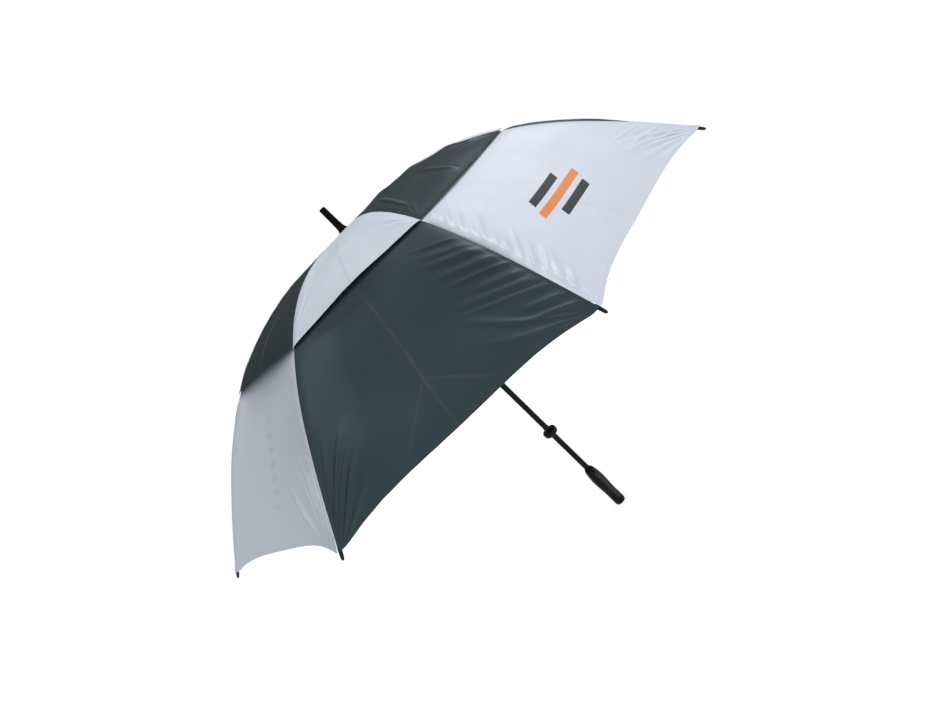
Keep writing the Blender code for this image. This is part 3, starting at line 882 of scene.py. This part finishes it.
def moulded_material(name, colour, roughness, gloss, grain):
    """Moulded plastic with a fine grain and slightly uneven gloss."""
    s = Shader(name)
    place = s.object_place()
    grainy = s.noise(place, 900.0, 3.0, 0.6)
    cloudy = s.noise(place, 60.0, 3.0, 0.5)
    base = s.mix(s.math("MULTIPLY", cloudy, 0.6), colour, shade(colour, 1.7, 0.004))
    rough = s.math("ADD", s.math("MULTIPLY", cloudy, 0.16), roughness - 0.08)
    normal = s.bump(grainy, grain, 0.0002)
    return s.finish(Base_Color=base, Roughness=rough, Normal=normal, Specular_IOR_Level=gloss)


def grip_material():
    """Glossy black rubber, with a painted highlight along the crests of the finger ribs."""
    s = Shader("black_grip")
    place = s.object_place()
    grain = s.noise(place, 1500.0, 2.0, 0.6)
    cloudy = s.noise(place, 30.0, 4.0, 0.55)
    crest, _, _ = s.split(s.uv("ribs"))
    # Painted highlight on the rib crests, broken up by noise.
    tone_and_painted_light = s.math("POWER", crest, 3.0)
    tone_and_painted_light = s.math("MULTIPLY", tone_and_painted_light, s.math("ADD", 0.3, cloudy), clamp=True)
    base = s.mix(tone_and_painted_light, GRIP_BLACK, GRIP_PAINTED_HIGHLIGHT)
    normal = s.bump(grain, 0.1, 0.0002)
    return s.finish(Base_Color=base, Roughness=0.35, Normal=normal, Specular_IOR_Level=0.12)


def rod_material(name, colour, roughness, metallic, streak):
    """Drawn or pultruded stock: fine lines along its length."""
    s = Shader(name)
    place = s.object_place()
    lines = s.noise(s.stretched(place, (1400.0, 1400.0, 22.0)), 1.0, 3.0, 0.6)
    cloudy = s.noise(place, 45.0, 3.0, 0.5)
    base = s.mix(s.math("MULTIPLY", lines, 0.7), colour, shade(colour, 1.5, 0.003))
    rough = s.math("ADD", s.math("MULTIPLY", cloudy, 0.14), roughness - 0.07)
    gloss = 0.5 if metallic else 0.1
    s.finish(Metallic=metallic, Specular_IOR_Level=gloss)
    return s.finish(Base_Color=base, Roughness=rough, Normal=s.bump(lines, streak, 0.0001))


def make_materials():
    """Every material by the name that it has in this script."""
    dark = (DARK, DARK_PALE, DARK_CREASE, DARK_SHINE)
    dark_vent = (VENT_DARK, VENT_DARK_PALE, VENT_PAINTED_HIGHLIGHT, DARK_SHINE)
    white = (WHITE, WHITE_PALE, WHITE_CREASE, WHITE_SHINE)
    return {
        "dark": cloth_material("dark_cloth", *dark, sheen=0.03, roughness=0.42, gloss=0.7),
        # The vent's dark cloth: the main dark cloth with painted shade, darker and greyer, and less glossy.
        "dark_vent": cloth_material("dark_vent_cloth", *dark_vent, sheen=0.02, roughness=0.42, gloss=0.4),
        "white": cloth_material("white_cloth", *white, sheen=0.02, roughness=0.44, gloss=0.35),
        "printed": cloth_material(
            "printed_cloth", *white, sheen=0.02, roughness=0.42, gloss=0.35, printed=True
        ),
        "plastic": moulded_material("black_plastic", (0.004, 0.004, 0.005, 1), 0.22, 0.1, 0.06),
        "ferrule": moulded_material("black_ferrule", (0.003, 0.003, 0.004, 1), 0.2, 0.08, 0.03),
        "cap": moulded_material("black_cap", (0.014, 0.011, 0.009, 1), 0.35, 0.2, 0.06),
        "grip": grip_material(),
        "shaft": rod_material("black_shaft", (0.003, 0.003, 0.004, 1), 0.25, 0.0, 0.05),
        "rod": rod_material("black_rod", (0.014, 0.014, 0.015, 1), 0.35, 0.0, 0.15),
        "steel": rod_material("steel_wire", (0.5, 0.5, 0.51, 1), 0.28, 1.0, 0.3),
    }


# Fittings.


def add_finial(materials):
    """The ferrule: a flared foot on the canopy, and a long nose that tapers slightly to a blunt end."""
    foot = [(0.0, -2.4), (12.6, -2.4), (12.6, 0.2)]
    flare = [(12.2, 1.2), (10.4, 4.5), (8.9, 9.0), (8.3, 14.0), (7.9, 20.0)]
    nose = [(7.6, 35.0), (7.35, 52.0), (7.2, 60.0)]
    end = [(7.0, 62.6), (6.4, 64.1), (5.4, 64.85), (4.0, 65.0), (0.0, 65.0)]
    profile = raised(foot, CROWN) + smooth_profile(raised(flare, CROWN), 0.8) + raised(nose + end, CROWN)
    item = lathe("finial_shell", profile, 72, 50.0)
    item.data.materials.append(materials["ferrule"])
    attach(item, "frame")
    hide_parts("finial")


def add_collar(materials):
    """The stop collar: a thick, rounded flange that runs out into the shaft above and below."""
    upper = [(COLLAR_NECK, 14.4), (7.9, 10.5), (9.0, 8.6), (11.8, 7.5), (15.0, 6.3), (17.0, 4.6)]
    flange = [(17.9, 2.6), (18.0, 0.0), (17.9, -3.8)]
    lower = [(17.2, -6.6), (15.2, -9.0), (12.0, -10.6), (9.2, -11.9), (8.0, -13.2), (COLLAR_NECK, -14.6)]
    top = raised([(0.0, COLLAR_HALF), (COLLAR_NECK, COLLAR_HALF)], COLLAR_MIDDLE)
    skin = smooth_profile(raised(upper + flange + lower, COLLAR_MIDDLE), 0.7)
    bottom = raised([(COLLAR_NECK, -COLLAR_HALF), (0.0, -COLLAR_HALF)], COLLAR_MIDDLE)
    item = lathe("collar_shell", top + skin + bottom, 64, 45.0)
    item.data.materials.append(materials["plastic"])
    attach(item, "frame")
    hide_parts("lower_stop_collar")


def ramp(value):
    """The value kept between 0 and 1."""
    return max(0.0, min(1.0, value))


def grip_rib(angle, depth):
    """How far a point of the grip stands up on a finger rib, from 0 to 1 mm."""
    row = ramp((math.cos(2 * (angle - GRIP_ROW_ANGLE)) ** 2 - 0.5) / 0.3)
    run = ramp((depth - GRIP_RIBS_FROM) / 4.0) * ramp((GRIP_RIBS_TO - depth) / 4.0)
    return row * run * (0.5 + 0.5 * math.cos(2 * math.pi * depth / GRIP_RIB_PITCH))


def add_grip(materials):
    """The moulded grip, with short raised ribs in four rows round it."""
    steps = 120
    depths = np.arange(0.0, GRIP_LENGTH + 0.1, 0.5)
    kernel = np.hanning(11)
    kernel /= kernel.sum()
    radii = np.interp(np.pad(depths, 5, mode="edge"), *zip(*GRIP_PROFILE))
    radii = np.convolve(radii, kernel, mode="valid")
    vertices = [(0.0, 0.0, GRIP_LENGTH)]
    crests = [0.0]
    for depth, radius in zip(depths, radii):
        for k in range(steps):
            angle = 2 * math.pi * k / steps
            rise = grip_rib(angle, depth)
            crests.append(rise)
            r = radius - 0.5 + rise
            vertices.append((r * math.cos(angle), r * math.sin(angle), GRIP_LENGTH - depth))
    vertices.append((0.0, 0.0, 0.0))
    crests.append(0.0)
    faces = [(0, 1 + k, 1 + (k + 1) % steps) for k in range(steps)]
    for ring in range(len(depths) - 1):
        base = 1 + ring * steps
        for k in range(steps):
            following = (k + 1) % steps
            faces.append((base + k, base + steps + k, base + steps + following, base + following))
    last = 1 + (len(depths) - 1) * steps
    faces += [(len(vertices) - 1, last + (k + 1) % steps, last + k) for k in range(steps)]
    item = solid_from("grip_shell", vertices, faces)
    layer = item.data.uv_layers.new(name="ribs")
    for loop in item.data.loops:
        layer.data[loop.index].uv = (crests[loop.vertex_index], 0.0)
    item.data.set_sharp_from_angle(angle=math.radians(50))
    item.data.materials.append(materials["grip"])
    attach(item, "frame")
    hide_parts("handle_grip")


def add_button_spring(materials):
    """The coil spring behind the push button, made at one length, though the button presses it shorter as it
    goes in.
    """
    low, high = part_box("button_spring")
    height = (low.z + high.z) / 2
    start, end = SPRING_FROM + SPRING_WIRE, SPRING_TO - SPRING_WIRE
    steps, sides = 24, 10
    count = int(SPRING_TURNS * steps)
    vertices = []
    for k in range(count + 1):
        angle = 2 * math.pi * k / steps
        middle = start + (end - start) * k / count
        for m in range(sides):
            turn = 2 * math.pi * m / sides
            x = middle + SPRING_WIRE * math.sin(turn)
            radius = SPRING_RADIUS + SPRING_WIRE * math.cos(turn)
            vertices.append((x, radius * math.cos(angle), radius * math.sin(angle)))
    faces = [tuple(range(sides)), tuple(reversed(range(count * sides, (count + 1) * sides)))]
    for k in range(count):
        for m in range(sides):
            following = (m + 1) % sides
            a = k * sides
            b = a + sides
            faces.append((a + following, a + m, b + m, b + following))
    item = solid_from("button_coil", vertices, faces)
    place = Matrix.Translation((0, 0, height)) @ Matrix.Rotation(BUTTON_ANGLE, 4, "Z")
    item.data.transform(place)
    item.data.materials.append(materials["steel"])
    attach(item, "runner")
    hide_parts("button_spring")
    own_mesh(item)


def add_rib_tips(materials):
    """Blunt caps on the rib ends."""
    length = TIP_END - TIP_START
    profile = [(0.0, 0.0), (2.6, 0.0), (3.0, 0.3), (3.25, 1.2), (3.3, 3.0), (3.15, 10.0), (3.0, length - 8.0)]
    profile += [(2.85, length - 5.0), (2.5, length - 2.6), (1.8, length - 1.0)]
    profile += [(0.9, length - 0.2), (0.0, length)]
    radius, height, slope = rib_at(TIP_START)
    lay = Matrix.Translation((float(radius) * MM, 0, float(height) * MM))
    lay = lay @ Matrix.Rotation(math.pi / 2 + float(slope), 4, "Y")
    for k in range(PANELS):
        item = lathe(f"tip_shell_{k}", profile, 32, 50.0)
        item.data.transform(Matrix.Rotation(-k * SECTOR, 4, "Z") @ lay)
        item.data.materials.append(materials["cap"])
        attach(item, f"rib_outer_{k}")
        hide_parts(f"rib_tip_{k}")


CAD_MATERIALS = {
    "black_plastic": "plastic",
    "black_rubber": "grip",
    "black_paint": "shaft",
    "black_rod": "rod",
    "steel_wire": "steel",
    "dark_cloth": "dark",
    "white_cloth": "white",
}


def dress_cad_nodes(frame, materials):
    """Gives every CAD piece the material of its slot."""
    slots = {part["node"]: part["material_slot"] for part in frame["record"]["subparts"]}
    for name, node in frame["nodes"].items():
        node.data.materials.clear()
        node.data.materials.append(materials[CAD_MATERIALS[slots[name]]])


# Studio.


def add_floor():
    """A wide pale floor that fades into the background well before its edge."""
    mesh = bpy.data.meshes.new("studio_floor")
    corners = [(x * FLOOR_HALF, y * FLOOR_HALF, 0) for x, y in ((-1, -1), (1, -1), (1, 1), (-1, 1))]
    mesh.from_pydata(corners, [], [(0, 1, 2, 3)])
    floor = bpy.data.objects.new("studio_floor", mesh)
    floor.location.z = FLOOR_HEIGHT
    bpy.context.scene.collection.objects.link(floor)
    s = Shader("studio_floor")
    x, y, _ = s.split(s.object_place())
    reach = s.math("SQRT", s.math("ADD", s.math("MULTIPLY", x, x), s.math("MULTIPLY", y, y)))
    beyond = s.math("SUBTRACT", reach, FLOOR_FADE_FROM)
    fade = s.math("SUBTRACT", 1.0, s.math("DIVIDE", beyond, FLOOR_FADE_LENGTH), clamp=True)
    s.finish(Base_Color=(0.7, 0.7, 0.7, 1.0), Roughness=0.9, Alpha=fade)
    s.finish(Emission_Color=(1.0, 1.0, 1.0, 1.0), Emission_Strength=0.75)
    mesh.materials.append(s.material)
    floor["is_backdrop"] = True


def add_world():
    """A white background; as a light it is dimmer, and dimmest behind on the left."""
    world = bpy.data.worlds.new("studio")
    bpy.context.scene.world = world
    world.use_nodes = True
    tree = world.node_tree
    tree.nodes.clear()
    seen = tree.nodes.new("ShaderNodeBackground")
    seen.inputs["Color"].default_value = (1.0, 1.0, 1.0, 1.0)
    seen.inputs["Strength"].default_value = 1.0
    lighting = tree.nodes.new("ShaderNodeBackground")
    lighting.inputs["Color"].default_value = (0.94, 0.97, 1.0, 1.0)
    place = tree.nodes.new("ShaderNodeTexCoord")
    towards = tree.nodes.new("ShaderNodeVectorMath")
    towards.operation = "DOT_PRODUCT"
    towards.inputs[1].default_value = Vector(SKY_BRIGHT_SIDE).normalized()
    tree.links.new(place.outputs["Generated"], towards.inputs[0])
    spread = tree.nodes.new("ShaderNodeMapRange")
    spread.interpolation_type = "SMOOTHSTEP"
    for socket, value in (("From Min", -0.6), ("From Max", 1.0), ("To Min", SKY_DIM), ("To Max", SKY_BRIGHT)):
        spread.inputs[socket].default_value = value
    tree.links.new(towards.outputs["Value"], spread.inputs["Value"])
    tree.links.new(spread.outputs["Result"], lighting.inputs["Strength"])
    path = tree.nodes.new("ShaderNodeLightPath")
    mix = tree.nodes.new("ShaderNodeMixShader")
    output = tree.nodes.new("ShaderNodeOutputWorld")
    tree.links.new(path.outputs["Is Camera Ray"], mix.inputs["Fac"])
    tree.links.new(lighting.outputs[0], mix.inputs[1])
    tree.links.new(seen.outputs[0], mix.inputs[2])
    tree.links.new(mix.outputs[0], output.inputs["Surface"])


def add_light(name, place, target, size, watts, colour=(1.0, 1.0, 1.0)):
    """A round soft light at a place, turned to a target."""
    data = bpy.data.lights.new(name, "AREA")
    data.shape = "DISK"
    data.size = size
    data.energy = watts
    data.color = colour
    light = bpy.data.objects.new(name, data)
    light.location = place
    light.rotation_euler = (Vector(target) - Vector(place)).to_track_quat("-Z", "Y").to_euler()
    bpy.context.scene.collection.objects.link(light)


def add_lights():
    """Places and sizes in metres, and watts."""
    add_light("key", (1.65, 1.15, 3.5), (0.05, 0.0, 0.75), 1.3, 58.0)
    add_light("top", (0.6, -0.3, 3.4), (0.1, -0.4, 0.75), 0.9, 5.0)
    add_light("fill", (0.6, -3.6, 1.9), (0.0, 0.0, 0.7), 2.6, 10.0, (0.93, 0.97, 1.0))
    add_light("side", (-3.0, -0.9, 1.3), (0.0, -0.2, 0.7), 2.4, 11.0, (1.0, 1.0, 0.97))


def add_camera():
    """The camera, from its place and the directions that it looks in and holds as right."""
    data = bpy.data.cameras.new("camera")
    data.sensor_width = SENSOR_MM
    data.lens = LENS_MM
    data.clip_start = 0.01
    camera = bpy.data.objects.new("camera", data)
    bpy.context.scene.collection.objects.link(camera)
    forward = Vector(CAMERA_FORWARD).normalized()
    right = Vector(CAMERA_RIGHT)
    right = (right - forward * right.dot(forward)).normalized()
    up = right.cross(forward)
    turn = Matrix((right, up, -forward)).transposed().to_4x4()
    camera.matrix_world = Matrix.Translation(CAMERA_PLACE) @ turn
    bpy.context.scene.camera = camera


def write_sizes(cad_box):
    """Works out the boxes of the CAD model and of the visual model."""
    boxes = {"cad": cad_box, "visual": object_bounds()}
    boxes = {name: [list(map(float, corner)) for corner in box] for name, box in boxes.items()}


def main():
    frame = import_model()
    cad_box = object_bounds()
    bpy.context.scene.view_settings.view_transform = "Standard"
    add_camera()
    materials = make_materials()
    dress_cad_nodes(frame, materials)
    add_canopy(materials)
    add_finial(materials)
    add_collar(materials)
    add_grip(materials)
    add_button_spring(materials)
    add_rib_tips(materials)
    add_floor()
    add_world()
    add_lights()
    write_sizes(cad_box)


main()
